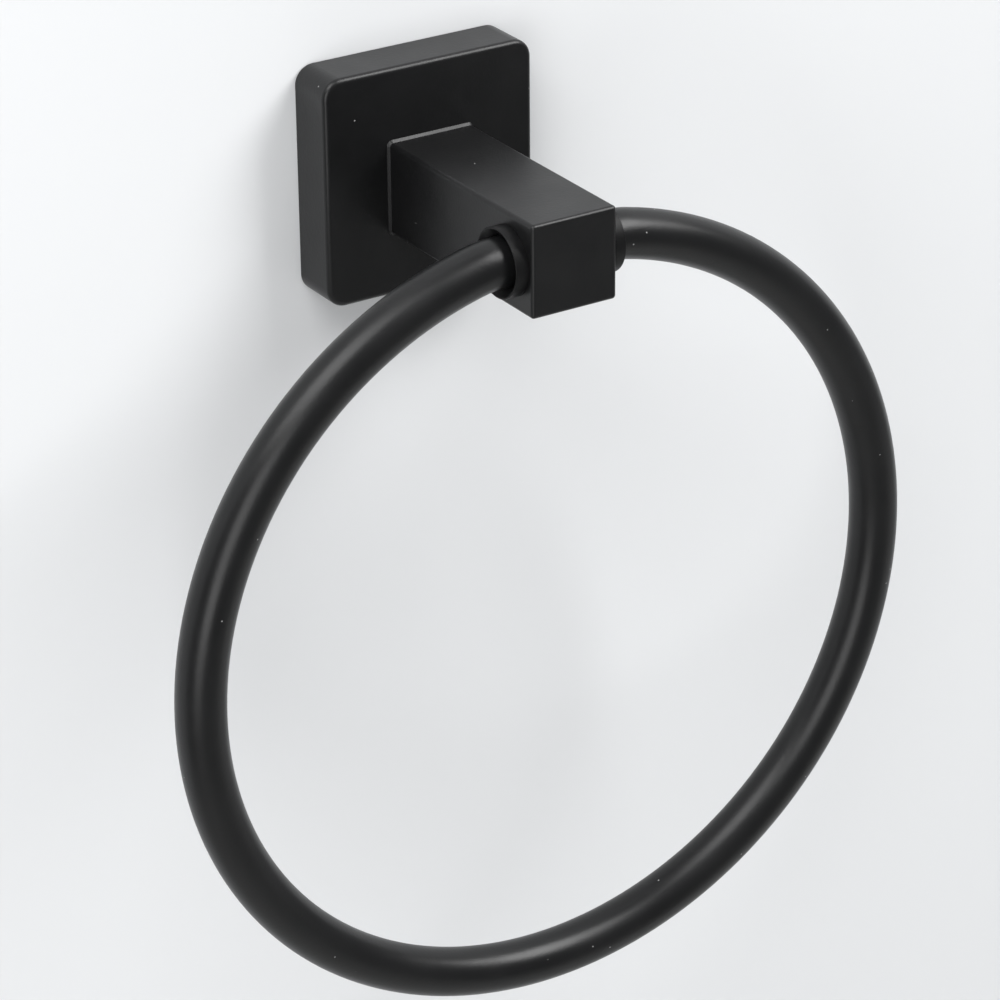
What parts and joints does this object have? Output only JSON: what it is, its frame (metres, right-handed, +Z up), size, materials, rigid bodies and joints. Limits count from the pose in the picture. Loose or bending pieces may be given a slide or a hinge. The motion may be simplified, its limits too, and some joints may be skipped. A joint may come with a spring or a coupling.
{
  "type": "towel ring",
  "caption": "Wall-mounted towel ring: a square hollow cover hooked on a hidden bracket, a square post, and a round tube hoop that swings from bushes in the post's end.",
  "frame": {"origin": "centre of the cover's back edge, on the wall plane", "axes": "+Y into the wall, so the ring stands out towards -Y; +Z up; +X to the right as seen facing the wall"},
  "size_m": [0.1764, 0.0665, 0.1958],
  "materials": {
    "black_coat": "satin black coating",
    "black_nylon": "moulded, matte",
    "zinc_steel": "bright zinc plated"
  },
  "bodies": {
    "holder": {"cover": "black_coat", "post": "black_coat", "post_screw": "zinc_steel", "flat_washer": "zinc_steel", "spring_washer": "zinc_steel", "left_bush": "black_nylon", "right_bush": "black_nylon", "wall_bracket": "zinc_steel", "grub_screw": "zinc_steel"},
    "ring": {"ring": "black_coat"}
  },
  "joints": [
    {"name": "ring_swing", "type": "hinge", "parent": "holder", "child": "ring", "pos_m": [0, -0.058, -0.001], "axis": [1, 0, 0], "range_deg": [-198, 18]}
  ]
}
